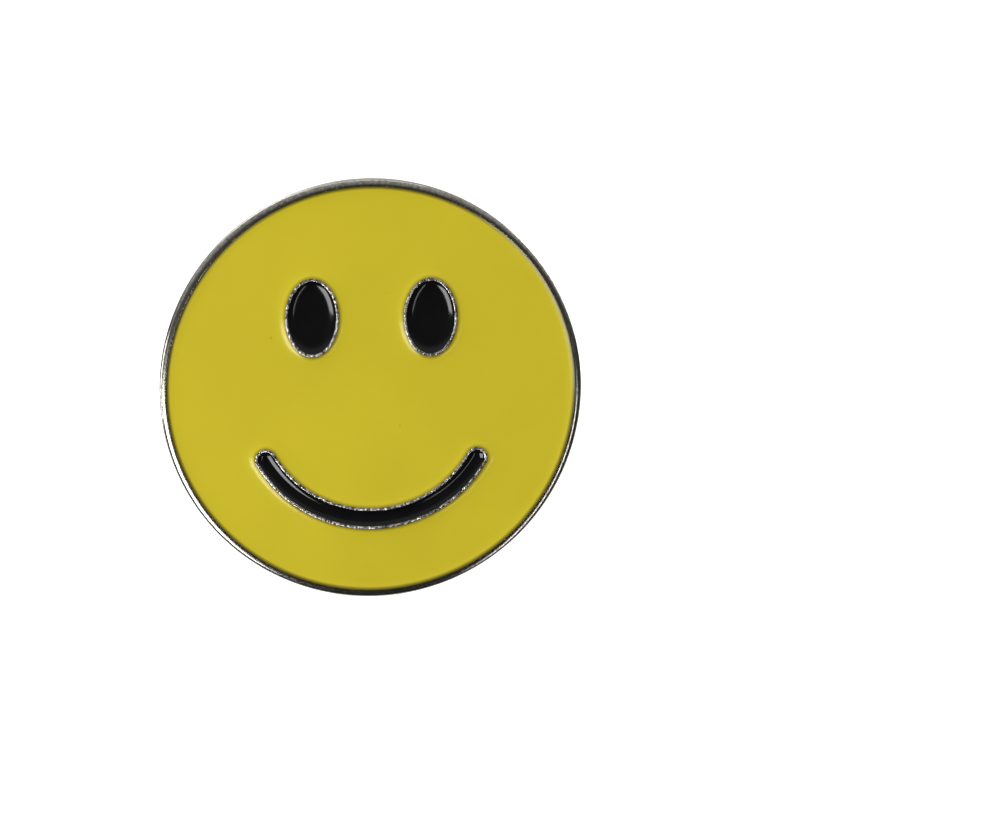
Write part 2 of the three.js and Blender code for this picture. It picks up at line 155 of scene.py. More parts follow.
def choose(piece, kind, wanted):
    """Selects the vertices, edges or faces that pass a test, and nothing else."""
    bpy.ops.mesh.select_mode(type=kind)
    bpy.ops.mesh.select_all(action="DESELECT")
    mesh = bmesh.from_edit_mesh(piece.data)
    parts = {"VERT": mesh.verts, "EDGE": mesh.edges, "FACE": mesh.faces}[kind]
    for item in parts:
        if wanted(item):
            item.select_set(True)
    mesh.select_flush_mode()
    bmesh.update_edit_mesh(piece.data)


def named(name):
    piece = bpy.context.object
    piece.name = name
    piece.data.name = name
    bpy.ops.object.transform_apply(location=True, rotation=True, scale=True)
    return piece


def apply_modifier(piece, kind, **settings):
    take_up(piece)
    modifier = piece.modifiers.new(kind.lower(), kind)
    for key, value in settings.items():
        setattr(modifier, key, value)
    bpy.ops.object.modifier_apply(modifier=modifier.name)


def combine(piece, tool, operation):
    """Joins or cuts a piece with a tool solid, and puts the tool away."""
    apply_modifier(piece, "BOOLEAN", object=tool, operation=operation, solver="EXACT")
    bpy.data.objects.remove(tool)


def settle(piece, turns=(0, 0, 0), place=(0, 0, 0)):
    """Turns a finished piece, puts it in its place and brings it to metres."""
    take_up(piece)
    piece.rotation_euler = turns
    piece.location = place
    bpy.ops.object.transform_apply(location=True, rotation=True, scale=True)
    piece.scale = (1 / METRE,) * 3
    bpy.ops.object.transform_apply(location=True, rotation=True, scale=True)


def smooth(piece, degrees):
    take_up(piece)
    bpy.ops.object.shade_smooth_by_angle(angle=math.radians(degrees))


def tidy_skin():
    bpy.ops.mesh.select_all(action="SELECT")
    bpy.ops.mesh.remove_doubles(threshold=0.0005)
    bpy.ops.mesh.normals_make_consistent(inside=False)


def give(piece, *materials):
    piece.data.materials.clear()
    for material in materials:
        piece.data.materials.append(material)


def coat(piece, material, wanted):
    """Gives the chosen faces one of the piece's materials."""
    open_mesh(piece)
    choose(piece, "FACE", wanted)
    piece.active_material_index = piece.data.materials.find(material.name)
    bpy.ops.object.material_slot_assign()
    put_down()


def hand_over(piece, body, node):
    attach(piece, body)
    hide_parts(node)


def around(vertex):
    """A vertex's distance from the Z axis."""
    return math.hypot(vertex.co.x, vertex.co.y)


# ---- Finishes ----------------------------------------------------------------------------------


def new_finish(name, color, metallic, roughness):
    """A material with its shader, and Object coordinates in millimetres for its patterns."""
    material = bpy.data.materials.new(name)
    material.use_nodes = True
    nodes = material.node_tree.nodes
    shader = nodes["Principled BSDF"]
    shader.inputs["Base Color"].default_value = (*color, 1)
    shader.inputs["Metallic"].default_value = metallic
    shader.inputs["Roughness"].default_value = roughness
    place = nodes.new("ShaderNodeTexCoord")
    scale = nodes.new("ShaderNodeMapping")
    scale.inputs["Scale"].default_value = (METRE, METRE, METRE)
    material.node_tree.links.new(place.outputs["Object"], scale.inputs["Vector"])
    return material, shader, scale.outputs["Vector"]


def wire(material, out, into):
    material.node_tree.links.new(out, into)


def stretched(material, vector, stretch):
    node = material.node_tree.nodes.new("ShaderNodeMapping")
    node.inputs["Scale"].default_value = stretch
    wire(material, vector, node.inputs["Vector"])
    return node.outputs["Vector"]


def grain(material, vector, per_mm, detail=3.0, rough=0.55, warp=0.0):
    node = material.node_tree.nodes.new("ShaderNodeTexNoise")
    node.inputs["Scale"].default_value = per_mm
    node.inputs["Detail"].default_value = detail
    node.inputs["Roughness"].default_value = rough
    node.inputs["Distortion"].default_value = warp
    wire(material, vector, node.inputs["Vector"])
    return node.outputs["Fac"]


def cells(material, vector, per_mm):
    node = material.node_tree.nodes.new("ShaderNodeTexVoronoi")
    node.inputs["Scale"].default_value = per_mm
    wire(material, vector, node.inputs["Vector"])
    return node.outputs["Distance"]


def spread(material, value, low, high, to_low, to_high):
    """Maps the part of a pattern from low to high onto another range, and holds it there beyond."""
    node = material.node_tree.nodes.new("ShaderNodeMapRange")
    for key, number in zip(("From Min", "From Max", "To Min", "To Max"), (low, high, to_low, to_high)):
        node.inputs[key].default_value = number
    wire(material, value, node.inputs["Value"])
    return node.outputs["Result"]


def tint(material, value, stops):
    """Turns a pattern into colours, given as (place, colour)."""
    node = material.node_tree.nodes.new("ShaderNodeValToRGB")
    ramp = node.color_ramp
    while len(ramp.elements) < len(stops):
        ramp.elements.new(0.5)
    for element, (place, color) in zip(ramp.elements, stops):
        element.position = place
        element.color = (*color, 1)
    wire(material, value, node.inputs["Fac"])
    return node.outputs["Color"]


def from_axis(material, vector):
    """Distance from the badge's middle, seen square to its face."""
    node = material.node_tree.nodes.new("ShaderNodeVectorMath")
    node.operation = "LENGTH"
    wire(material, stretched(material, vector, (1, 0, 1)), node.inputs[0])
    return node.outputs["Value"]


def height_of(material, vector):
    """Height above the plate's flat back, towards the face."""
    split = material.node_tree.nodes.new("ShaderNodeSeparateXYZ")
    wire(material, stretched(material, vector, (1, -1, 1)), split.inputs[0])
    return split.outputs["Y"]


def sum_of(material, first, second):
    node = material.node_tree.nodes.new("ShaderNodeMath")
    node.operation = "ADD"
    wire(material, first, node.inputs[0])
    wire(material, second, node.inputs[1])
    return node.outputs[0]


def darken(material, color, mask, shade):
    """Lays a shade over a colour where the mask is up."""
    node = material.node_tree.nodes.new("ShaderNodeMix")
    node.data_type = "RGBA"
    node.inputs["B"].default_value = (*shade, 1)
    wire(material, mask, node.inputs["Factor"])
    wire(material, color, node.inputs["A"])
    return node.outputs["Result"]


def relief(material, shader, height, depth_mm, strength):
    node = material.node_tree.nodes.new("ShaderNodeBump")
    node.inputs["Strength"].default_value = strength
    node.inputs["Distance"].default_value = depth_mm / METRE
    wire(material, height, node.inputs["Height"])
    wire(material, node.outputs["Normal"], shader.inputs["Normal"])


def polished_line_nickel():
    """Raised lines and rim: bright, but grainy from the die and the plating, with painted glints and
    dark reflections tinted into the grain.
    """
    made, shader, place = new_finish("polished_line_nickel", (0.7, 0.68, 0.63), 1, 0.2)
    beads_and_glints = grain(made, place, 5.8, 2.5, 0.65)
    # Painted highlight and reflection: the grain's colour runs from near black to near white, standing
    # in for glints and dark reflections on the beaded metal.
    wire(made, tint(made, beads_and_glints, [(0.42, (0.12, 0.11, 0.09)), (0.55, (0.88, 0.86, 0.81))]),
         shader.inputs["Base Color"])
    wire(made, spread(made, beads_and_glints, 0.35, 0.7, 0.3, 0.12), shader.inputs["Roughness"])
    relief(made, shader, beads_and_glints, 0.04, 1.0)
    return made


def rim_nickel():
    """The rim's rounded corner: polished, with pores and fine rubbing round it."""
    made, shader, place = new_finish("rim_nickel", (0.66, 0.64, 0.59), 1, 0.12)
    pores = grain(made, place, 4.5, 4.0, 0.65)
    wire(made, tint(made, pores, [(0.32, (0.3, 0.285, 0.25)), (0.6, (0.62, 0.6, 0.55))]),
         shader.inputs["Base Color"])
    wire(made, spread(made, pores, 0.3, 0.7, 0.2, 0.07), shader.inputs["Roughness"])
    relief(made, shader, pores, 0.012, 0.17)
    return made


def edge_nickel():
    """The trimmed side wall: satin, with small bright nicks and marks across it."""
    made, shader, place = new_finish("edge_nickel", (0.7, 0.68, 0.63), 1, 0.4)
    drag = grain(made, stretched(made, place, (1, 0.25, 1)), 4.0, 3.0, 0.6)
    nicks = spread(made, cells(made, place, 1.3), 0.0, 0.16, 1, 0)
    worn = tint(made, drag, [(0.3, (0.58, 0.56, 0.51)), (0.7, (0.76, 0.74, 0.69))])
    wire(made, darken(made, worn, nicks, (0.9, 0.89, 0.85)), shader.inputs["Base Color"])
    wire(made, spread(made, drag, 0.25, 0.75, 0.5, 0.36), shader.inputs["Roughness"])
    relief(made, shader, sum_of(made, drag, nicks), 0.02, 0.45)
    return made


def sandy_nickel():
    """The back: matt, sandy and mottled, as it comes from the die."""
    made, shader, place = new_finish("sandy_nickel", (0.6, 0.585, 0.56), 1, 0.5)
    sand = grain(made, place, 6.5, 4.0, 0.7)
    mottle = grain(made, place, 1.6, 4.0, 0.7, 0.4)
    patches = grain(made, place, 0.3, 3.0, 0.55, 0.3)
    tone = tint(made, patches, [(0.3, (0.62, 0.59, 0.57)), (0.7, (0.71, 0.675, 0.655))])
    clouded = darken(made, tone, spread(made, mottle, 0.4, 0.62, 0.4, 0), (0.46, 0.436, 0.42))
    speckled = darken(made, clouded, spread(made, sand, 0.34, 0.52, 0.6, 0), (0.36, 0.34, 0.33))
    glints = spread(made, sand, 0.6, 0.72, 0, 0.45)
    wire(made, darken(made, speckled, glints, (0.86, 0.85, 0.82)), shader.inputs["Base Color"])
    wire(made, spread(made, mottle, 0.35, 0.65, 0.56, 0.4), shader.inputs["Roughness"])
    relief(made, shader, sum_of(made, sand, mottle), 0.05, 0.6)
    return made


def bright_nickel():
    """The clutch: bright plating over pressed sheet, with faint drawing marks."""
    made, shader, place = new_finish("bright_nickel", (0.74, 0.72, 0.68), 1, 0.1)
    drawn = grain(made, stretched(made, place, (1, 0.6, 1)), 1.1, 4.0, 0.55)
    smears = grain(made, place, 0.6, 3.0, 0.5, 0.5)
    wire(made, tint(made, smears, [(0.3, (0.66, 0.64, 0.59)), (0.7, (0.8, 0.78, 0.74))]),
         shader.inputs["Base Color"])
    wire(made, spread(made, smears, 0.3, 0.75, 0.07, 0.17), shader.inputs["Roughness"])
    relief(made, shader, drawn, 0.03, 0.3)
    return made


def drawn_steel():
    """The post: plated wire with lines along it."""
    made, shader, place = new_finish("drawn_steel", (0.66, 0.65, 0.62), 1, 0.24)
    lines = grain(made, stretched(made, place, (1, 0.12, 1)), 7.0, 3.0, 0.6)
    wire(made, tint(made, lines, [(0.3, (0.55, 0.54, 0.51)), (0.7, (0.74, 0.73, 0.7))]),
         shader.inputs["Base Color"])
    wire(made, spread(made, lines, 0.3, 0.7, 0.32, 0.18), shader.inputs["Roughness"])
    relief(made, shader, lines, 0.012, 0.5)
    return made


def dull_braze():
    """The fillet at the post's foot: plated over, uneven and a little brown."""
    made, shader, place = new_finish("dull_braze", (0.5, 0.46, 0.4), 1, 0.45)
    lumps = grain(made, place, 3.2, 4.0, 0.65, 0.4)
    wire(made, tint(made, lumps, [(0.3, (0.36, 0.32, 0.26)), (0.7, (0.6, 0.57, 0.51))]),
         shader.inputs["Base Color"])
    wire(made, spread(made, lumps, 0.3, 0.7, 0.55, 0.32), shader.inputs["Roughness"])
    relief(made, shader, lumps, 0.06, 0.6)
    return made


def yellow_enamel():
    """Soft enamel, satin, with a few motes set in it. It turns olive where it climbs up the metal
    walls, which is partly the thin enamel over the metal and partly painted shade. A band of painted
    shade darkens it next to the rim.
    """
    made, shader, place = new_finish("yellow_enamel", (0.58, 0.478, 0.022), 0, 0.22)
    drift = grain(made, place, 0.09, 3.0, 0.5)
    skin = grain(made, place, 0.8, 4.0, 0.6)
    motes = spread(made, cells(made, place, 0.33), 0.0, 0.035, 1, 0)
    tone = tint(made, drift, [(0.3, (0.56, 0.464, 0.024)), (0.7, (0.61, 0.51, 0.027))])
    specked = darken(made, tone, motes, (0.2, 0.15, 0.01))
    # Partly thin enamel over the metal, partly painted shade: the colour darkens to olive as the
    # enamel climbs up the metal walls.
    height = height_of(made, place)
    climbing_thin_and_shade = spread(made, height, PLATE_THICKNESS - ENAMEL_RECESS + 0.05, SKIN_TOP, 0, 0.85)
    thinned_and_shaded = darken(made, specked, climbing_thin_and_shade, (0.14, 0.11, 0.006))
    # Painted shade: the enamel turns dark olive in a band next to the rim.
    reach = from_axis(made, place)
    painted_rim_shade = spread(made, reach, FIELD_RADIUS - RIM_SHADE, FIELD_RADIUS - 0.03, 0, 0.85)
    wire(made, darken(made, thinned_and_shaded, painted_rim_shade, (0.05, 0.042, 0.006)), shader.inputs["Base Color"])
    wire(made, spread(made, skin, 0.3, 0.7, 0.26, 0.18), shader.inputs["Roughness"])
    shader.inputs["Specular Tint"].default_value = (1, 0.92, 0.45, 1)
    shader.inputs["Coat Weight"].default_value = 0.3
    shader.inputs["Coat Roughness"].default_value = 0.06
    shader.inputs["Coat Tint"].default_value = (1, 0.96, 0.7, 1)
    relief(made, shader, skin, 0.01, 0.2)
    return made


def black_enamel():
    """Soft enamel, glossy black, with a few pale motes."""
    made, shader, place = new_finish("black_enamel", (0.0035, 0.0035, 0.004), 0, 0.1)
    skin = grain(made, place, 0.7, 3.0, 0.55)
    motes = spread(made, cells(made, place, 0.5), 0.0, 0.05, 1, 0)
    ground = tint(made, skin, [(0.3, (0.003, 0.003, 0.0035)), (0.7, (0.0045, 0.0045, 0.005))])
    wire(made, darken(made, ground, motes, (0.06, 0.058, 0.055)), shader.inputs["Base Color"])
    wire(made, spread(made, skin, 0.3, 0.7, 0.12, 0.07), shader.inputs["Roughness"])
    relief(made, shader, skin, 0.012, 0.2)
    return made


POLISHED_LINE = polished_line_nickel()
RIM = rim_nickel()
EDGE = edge_nickel()
SANDY = sandy_nickel()
BRIGHT = bright_nickel()
STEEL = drawn_steel()
BRAZE = dull_braze()
YELLOW = yellow_enamel()
BLACK = black_enamel()


# ---- Outlines of the cells ---------------------------------------------------------------------


def oval_disc(name, x, grow, height):
    put_down()
    bpy.ops.mesh.primitive_circle_add(
        vertices=EYE_SIDES, radius=1, fill_type="NGON", location=(x, EYE_Y, height)
    )
    bpy.context.object.scale = (EYE_HALF_WIDTH + grow, EYE_HALF_HEIGHT + grow, 1)
    return named(name)


def smile_disc(name, grow, height):
    """A round end, cut across, spun to the middle of the smile and mirrored."""
    put_down()
    end = Vector((
        -MOUTH_RADIUS * math.sin(MOUTH_HALF_SWEEP),
        MOUTH_CENTRE_Y - MOUTH_RADIUS * math.cos(MOUTH_HALF_SWEEP),
        height,
    ))
    along = Vector((math.cos(MOUTH_HALF_SWEEP), -math.sin(MOUTH_HALF_SWEEP), 0))
    bpy.ops.mesh.primitive_circle_add(
        vertices=MOUTH_END_SIDES, radius=MOUTH_HALF_WIDTH + grow, fill_type="NGON",
        location=end, rotation=(0, 0, -MOUTH_HALF_SWEEP),
    )
    piece = named(name)
    open_mesh(piece)
    bpy.ops.mesh.select_all(action="SELECT")
    bpy.ops.mesh.bisect(plane_co=end, plane_no=along, clear_outer=True)
    choose(piece, "EDGE", lambda edge: all(
        abs((vertex.co - end).dot(along)) < NEAR for vertex in edge.verts))
    bpy.ops.mesh.spin(steps=MOUTH_STEPS, angle=-MOUTH_HALF_SWEEP,
                      center=(0, MOUTH_CENTRE_Y, height), axis=(0, 0, 1))
    choose(piece, "VERT", lambda vertex: abs(vertex.co.x) < 0.01)
    bpy.ops.transform.resize(value=(0, 1, 1), center_override=(0, 0, 0))
    apply_modifier(piece, "MIRROR", use_axis=(True, False, False), use_clip=True,
                   merge_threshold=0.005)
    open_mesh(piece)
    bpy.ops.mesh.select_all(action="SELECT")
    bpy.ops.mesh.dissolve_limited(angle_limit=math.radians(0.4))
    put_down()
    return piece


CELLS = {
    "eye_left": lambda name, grow, height: oval_disc(name, -EYE_X, grow, height),
    "eye_right": lambda name, grow, height: oval_disc(name, EYE_X, grow, height),
    "mouth": smile_disc,
}


def raise_disc(piece, amount):
    """Extrudes a flat disc into a closed solid."""
    open_mesh(piece)
    bpy.ops.mesh.select_all(action="SELECT")
    bpy.ops.mesh.extrude_region_move(TRANSFORM_OT_translate={"value": (0, 0, amount)})
    tidy_skin()


# ---- Struck plate ------------------------------------------------------------------------------


def round_loop(piece, height, offset, segments):
    choose(piece, "EDGE", lambda edge: all(
        abs(vertex.co.z - height) < NEAR and around(vertex) > PLATE_RADIUS - NEAR
        for vertex in edge.verts))
    bpy.ops.mesh.bevel(offset=offset, segments=segments, profile=0.5, affect="EDGES")


def raised_line(cell):
    """The thin wall round a cell, with the cell sunk inside it."""
    base = CELL_FLOOR - LINE_ROOT
    piece = CELLS[cell]("line_" + cell, LINE_WIDTH, base)
    raise_disc(piece, PLATE_THICKNESS - base)
    choose(piece, "FACE", lambda face: face.normal.z > 0.9)
    bpy.ops.mesh.inset(thickness=LINE_WIDTH, depth=0)
    bpy.ops.mesh.extrude_region_move(
        TRANSFORM_OT_translate={"value": (0, 0, CELL_FLOOR - PLATE_THICKNESS)})
    choose(piece, "EDGE", lambda edge: all(
        vertex.co.z > PLATE_THICKNESS - NEAR for vertex in edge.verts)
        and edge.calc_face_angle(0) > 0.7)
    bpy.ops.mesh.bevel(offset=LINE_ROUND, segments=3, profile=0.5, affect="EDGES")
    put_down()
    return piece


def struck_plate():
    put_down()
    bpy.ops.mesh.primitive_cylinder_add(
        vertices=PLATE_SIDES, radius=PLATE_RADIUS, depth=PLATE_THICKNESS,
        location=(0, 0, PLATE_THICKNESS / 2))
    piece = named("struck_plate")
    open_mesh(piece)
    round_loop(piece, PLATE_THICKNESS, CORNER_ROUND, 7)
    round_loop(piece, 0, BACK_CORNER_ROUND, 4)
    choose(piece, "FACE", lambda face: face.normal.z > 0.99)
    bpy.ops.mesh.inset(thickness=RIM_FLAT, depth=0)
    bpy.ops.mesh.extrude_region_move(
        TRANSFORM_OT_translate={"value": (0, 0, CELL_FLOOR - PLATE_THICKNESS)})
    choose(piece, "EDGE", lambda edge: all(
        vertex.co.z > PLATE_THICKNESS - NEAR and around(vertex) < FIELD_RADIUS + 0.01
        for vertex in edge.verts))
    bpy.ops.mesh.bevel(offset=RIM_INNER_ROUND, segments=2, profile=0.5, affect="EDGES")
    put_down()
    for cell in CELLS:
        combine(piece, raised_line(cell), "UNION")
    open_mesh(piece)
    choose(piece, "VERT", lambda vertex: vertex.co.z > PLATE_THICKNESS)
    bpy.ops.transform.resize(value=(1, 1, 0), center_override=(0, 0, PLATE_THICKNESS))
    put_down()
    give(piece, RIM, POLISHED_LINE, EDGE, SANDY)
    coat(piece, POLISHED_LINE, lambda face: face.calc_center_median().xy.length < FACE_REACH
         and face.calc_center_median().z > CELL_FLOOR - NEAR)
    coat(piece, EDGE, lambda face: abs(face.normal.z) < 0.6
         and face.calc_center_median().xy.length > PLATE_RADIUS - 0.1
         and face.calc_center_median().z < PLATE_THICKNESS - CORNER_ROUND + 0.02)
    coat(piece, SANDY, lambda face: face.normal.z < -0.6)
    smooth(piece, 40)
    settle(piece, turns=(math.pi / 2, 0, 0))
    hand_over(piece, "badge", "badge_plate")


# ---- Enamel --------------------------------------------------------------------------------------


def enamel_drop(distance, recess):
    """How far below the metal the enamel's skin lies, at a distance from the wall it climbs."""
    climb = recess - MENISCUS_TOP
    return recess - climb * math.exp(-distance / MENISCUS_REACH)


def sink_skin(piece, furthest, recess):
    """Sinks the enamel's top in rings, so that it climbs to the metal all round."""
    choose(piece, "FACE", lambda face: face.normal.z > 0.9
           and face.calc_center_median().z > SKIN_TOP - 0.01)
    before = 0
    depth = MENISCUS_TOP
    for stop in MENISCUS_STOPS:
        if stop > furthest:
            break
        drop = enamel_drop(stop, recess)
        bpy.ops.mesh.inset(thickness=stop - before, depth=0, use_even_offset=True)
        bpy.ops.transform.translate(value=(0, 0, depth - drop))
        before = stop
        depth = drop
    put_down()


def yellow_field():
    put_down()
    bpy.ops.mesh.primitive_circle_add(
        vertices=PLATE_SIDES, radius=FIELD_RADIUS + ENAMEL_BITE, fill_type="NGON",
        location=(0, 0, ENAMEL_BOTTOM))
    piece = named("yellow_field")
    raise_disc(piece, SKIN_TOP - ENAMEL_BOTTOM)
    for cell in CELLS:
        cutter = CELLS[cell]("cutter_" + cell, LINE_WIDTH - ENAMEL_BITE, ENAMEL_BOTTOM - 0.1)
        raise_disc(cutter, SKIN_TOP - ENAMEL_BOTTOM + 0.2)
        combine(piece, cutter, "DIFFERENCE")
    open_mesh(piece)
    sink_skin(piece, FIELD_SINK, ENAMEL_RECESS)
    give(piece, YELLOW)
    smooth(piece, 35)
    settle(piece, turns=(math.pi / 2, 0, 0))
    hand_over(piece, "badge", "enamel_field")


def black_cell(cell, node, furthest, recess):
    piece = CELLS[cell]("black_" + cell, ENAMEL_BITE, ENAMEL_BOTTOM)
    raise_disc(piece, SKIN_TOP - ENAMEL_BOTTOM)
    sink_skin(piece, furthest, recess)
    give(piece, BLACK)
    smooth(piece, 35)
    settle(piece, turns=(math.pi / 2, 0, 0))
    hand_over(piece, "badge", node)


# ---- Turned pieces ---------------------------------------------------------------------------------


def spun(name, profile, steps):
    """Draws a profile of (radius, height) from one corner and spins it round the post's axis."""
    put_down()
    bpy.ops.mesh.primitive_plane_add(size=1)
    piece = named(name)
    open_mesh(piece)
    bpy.ops.mesh.select_all(action="SELECT")
    bpy.ops.mesh.merge(type="CENTER")
    bpy.ops.transform.translate(value=(*profile[0], 0))
    for (x, y), (next_x, next_y) in zip(profile, profile[1:]):
        bpy.ops.mesh.extrude_region_move(
            TRANSFORM_OT_translate={"value": (next_x - x, next_y - y, 0)})
    bpy.ops.mesh.select_all(action="SELECT")
    bpy.ops.mesh.spin(steps=steps, angle=2 * math.pi, center=(0, 0, 0), axis=(0, 1, 0))
    tidy_skin()
    return piece


def break_edges(piece, sharper_than, offset, segments):
    limit = math.radians(sharper_than)
    choose(piece, "EDGE", lambda edge: edge.calc_face_angle(0) > limit)
    bpy.ops.mesh.bevel(offset=offset, segments=segments, profile=0.5, affect="EDGES",
                       clamp_overlap=True)


def on_post(piece, body, node, turn=0.0):
    settle(piece, turns=(0, turn, 0), place=(0, 0, POST_Z))
    hand_over(piece, body, node)


FOOT_UNDERSIDE = post_low.y
FOOT_TOP = 0.32
POST_RADIUS = 0.5
POINT_FROM = 5.1
BRAZE_UNEVEN = 0.03


def post_and_point():
    profile = [
        (0, FOOT_UNDERSIDE),
        (FOOT_RADIUS, FOOT_UNDERSIDE),
        (FOOT_RADIUS, FOOT_TOP - 0.06),
        (FOOT_RADIUS - 0.1, FOOT_TOP),
        (POST_RADIUS + 0.16, FOOT_TOP + 0.01),
        (POST_RADIUS + 0.04, FOOT_TOP + 0.06),
        (POST_RADIUS, FOOT_TOP + 0.2),
        (POST_RADIUS, POINT_FROM - 0.25),
        (POST_RADIUS - 0.02, POINT_FROM),
        (POST_RADIUS - 0.1, POINT_FROM + 0.5),
        (POST_RADIUS - 0.19, POINT_FROM + 1),
        (POST_RADIUS - 0.26, POINT_FROM + 1.5),
        (POST_RADIUS - 0.335, POINT_FROM + 2),
        (POST_RADIUS - 0.405, POINT_FROM + 2.5),
        (0.05, POST_TIP - 0.12),
        (0.02, POST_TIP - 0.03),
        (0, POST_TIP),
    ]
    piece = spun("post_and_point", profile, 48)
    put_down()
    give(piece, STEEL)
    smooth(piece, 40)
    on_post(piece, "badge", "pin_post")


def braze_fillet():
    """A ring of solder, hollow outside, pushed about so that it isn't true."""
    inner = FOOT_RADIUS - 0.02
    width = BRAZE_RADIUS - inner
    rise = braze_high.y - braze_low.y
    low = braze_low.y
    profile = [
        (inner, low),
        (BRAZE_RADIUS, low),
        (inner + width * 0.72, low + rise * 0.16),
        (inner + width * 0.45, low + rise * 0.38),
        (inner + width * 0.2, low + rise * 0.7),
        (inner + width * 0.08, low + rise * 0.96),
        (inner, low + rise),
        (inner, low),
    ]
    piece = spun("braze_fillet", profile, 72)
    choose(piece, "VERT", lambda vertex: vertex.co.y > low + rise * 0.1)
    bpy.ops.transform.vertex_random(offset=BRAZE_UNEVEN, uniform=0.6, normal=0.4, seed=7)
    put_down()
    give(piece, BRAZE)
    smooth(piece, 60)
    on_post(piece, "badge", "braze_ring")


# ---- Butterfly clutch ------------------------------------------------------------------------------

HUB_RADIUS = 1.95
HUB_TOP = DISH_BOTTOM - 0.03
BORE_RADIUS = 0.56
TUBE_RADIUS = 0.95
TUBE_HOLE_RADIUS = TUBE_RADIUS + 0.05
HEAD_RADIUS = 1.3
HEAD_THICKNESS = 0.2
CRIMP_TOP = HUB_BOTTOM + 0.42
CRIMP_PETALS = 8
CRIMP_FLARE = 0.14
PETAL_SHARE = 0.42
DISH_SHEET = 0.3
DISH_FLOOR_RADIUS = 3.7
ROLL_RADIUS = 0.42
ROLL_LIFT = 0.85
ROLL_FROM = 196
ROLL_TO = -52
ROLL_STEPS = 18


def hub_eyelet():
    """A hollow rivet whose lower edge is crimped out in petals."""
    under_head = EYELET_TOP - HEAD_THICKNESS
    profile = [
        (BORE_RADIUS, HUB_BOTTOM),
        (HUB_RADIUS - 0.2, HUB_BOTTOM),
        (HUB_RADIUS - 0.05, HUB_BOTTOM + 0.03),
        (HUB_RADIUS, HUB_BOTTOM + 0.12),
        (HUB_RADIUS - 0.02, HUB_BOTTOM + 0.24),
        (HUB_RADIUS - 0.12, CRIMP_TOP),
        (HUB_RADIUS - 0.04, CRIMP_TOP + 0.1),
        (HUB_RADIUS, CRIMP_TOP + 0.22),
        (HUB_RADIUS, HUB_TOP - 0.12),
        (HUB_RADIUS - 0.12, HUB_TOP),
        (TUBE_RADIUS, HUB_TOP),
        (TUBE_RADIUS, under_head),
        (HEAD_RADIUS, under_head),
        (HEAD_RADIUS, under_head + 0.08),
        (HEAD_RADIUS - 0.1, EYELET_TOP - 0.02),
        (HEAD_RADIUS - 0.25, EYELET_TOP),
        (BORE_RADIUS + 0.16, EYELET_TOP - 0.01),
        (BORE_RADIUS + 0.04, EYELET_TOP - 0.06),
        (BORE_RADIUS, EYELET_TOP - 0.16),
        (BORE_RADIUS, HUB_BOTTOM),
    ]
    piece = spun("hub_eyelet", profile, 96)
    half_petal = math.pi / CRIMP_PETALS * PETAL_SHARE
    for petal in range(CRIMP_PETALS):
        middle = 2 * math.pi * petal / CRIMP_PETALS
        way = Vector((math.cos(middle), 0, math.sin(middle)))

        def on_petal(vertex, way=way):
            outward = Vector((vertex.co.x, 0, vertex.co.z))
            return (outward.length > HUB_RADIUS - 0.25 and vertex.co.y < CRIMP_TOP - 0.05
                    and outward.angle(way, 0) < half_petal)

        choose(piece, "VERT", on_petal)
        bpy.ops.transform.translate(value=way * CRIMP_FLARE)
    put_down()
    give(piece, BRIGHT)
    smooth(piece, 50)
    on_post(piece, "clutch_hub", "clutch_eyelet", CLUTCH_TURN)


def cup_dish():
    """A drawn cup: sheet spun from the hub's hole out, over the rolled rim to a thin lip."""
    middle = DISH_BOTTOM + DISH_SHEET / 2
    roll_x = DISH_RADIUS - DISH_SHEET / 2 - ROLL_RADIUS
    roll_y = middle + ROLL_LIFT
    profile = [
        (TUBE_HOLE_RADIUS, middle),
        (TUBE_RADIUS + 0.6, middle),
        (DISH_FLOOR_RADIUS - 0.7, middle),
        (DISH_FLOOR_RADIUS - 0.35, middle + 0.01),
        (DISH_FLOOR_RADIUS, middle + 0.05),
        (DISH_FLOOR_RADIUS + 0.3, middle + 0.14),
        (DISH_FLOOR_RADIUS + 0.55, middle + 0.3),
    ]
    for step in range(ROLL_STEPS + 1):
        turn = math.radians(ROLL_FROM + (ROLL_TO - ROLL_FROM) * step / ROLL_STEPS)
        profile.append((roll_x + ROLL_RADIUS * math.cos(turn), roll_y + ROLL_RADIUS * math.sin(turn)))
    profile += [
        (DISH_RADIUS - 0.34, roll_y - 0.43),
        (DISH_RADIUS - 0.27, roll_y - 0.5),
        (DISH_RADIUS - 0.17, roll_y - 0.53),
    ]
    piece = spun("cup_dish", profile, 128)
    apply_modifier(piece, "SOLIDIFY", thickness=DISH_SHEET, offset=0, use_even_offset=True)
    open_mesh(piece)
    break_edges(piece, 50, 0.07, 3)
    put_down()
    give(piece, BRIGHT)
    smooth(piece, 45)
    on_post(piece, "clutch_cup", "clutch_dish", CLUTCH_TURN)


STRIP_REACH = 2.78
STRIP_WIDTH = 3.7
STRIP_CORNER = 0.35


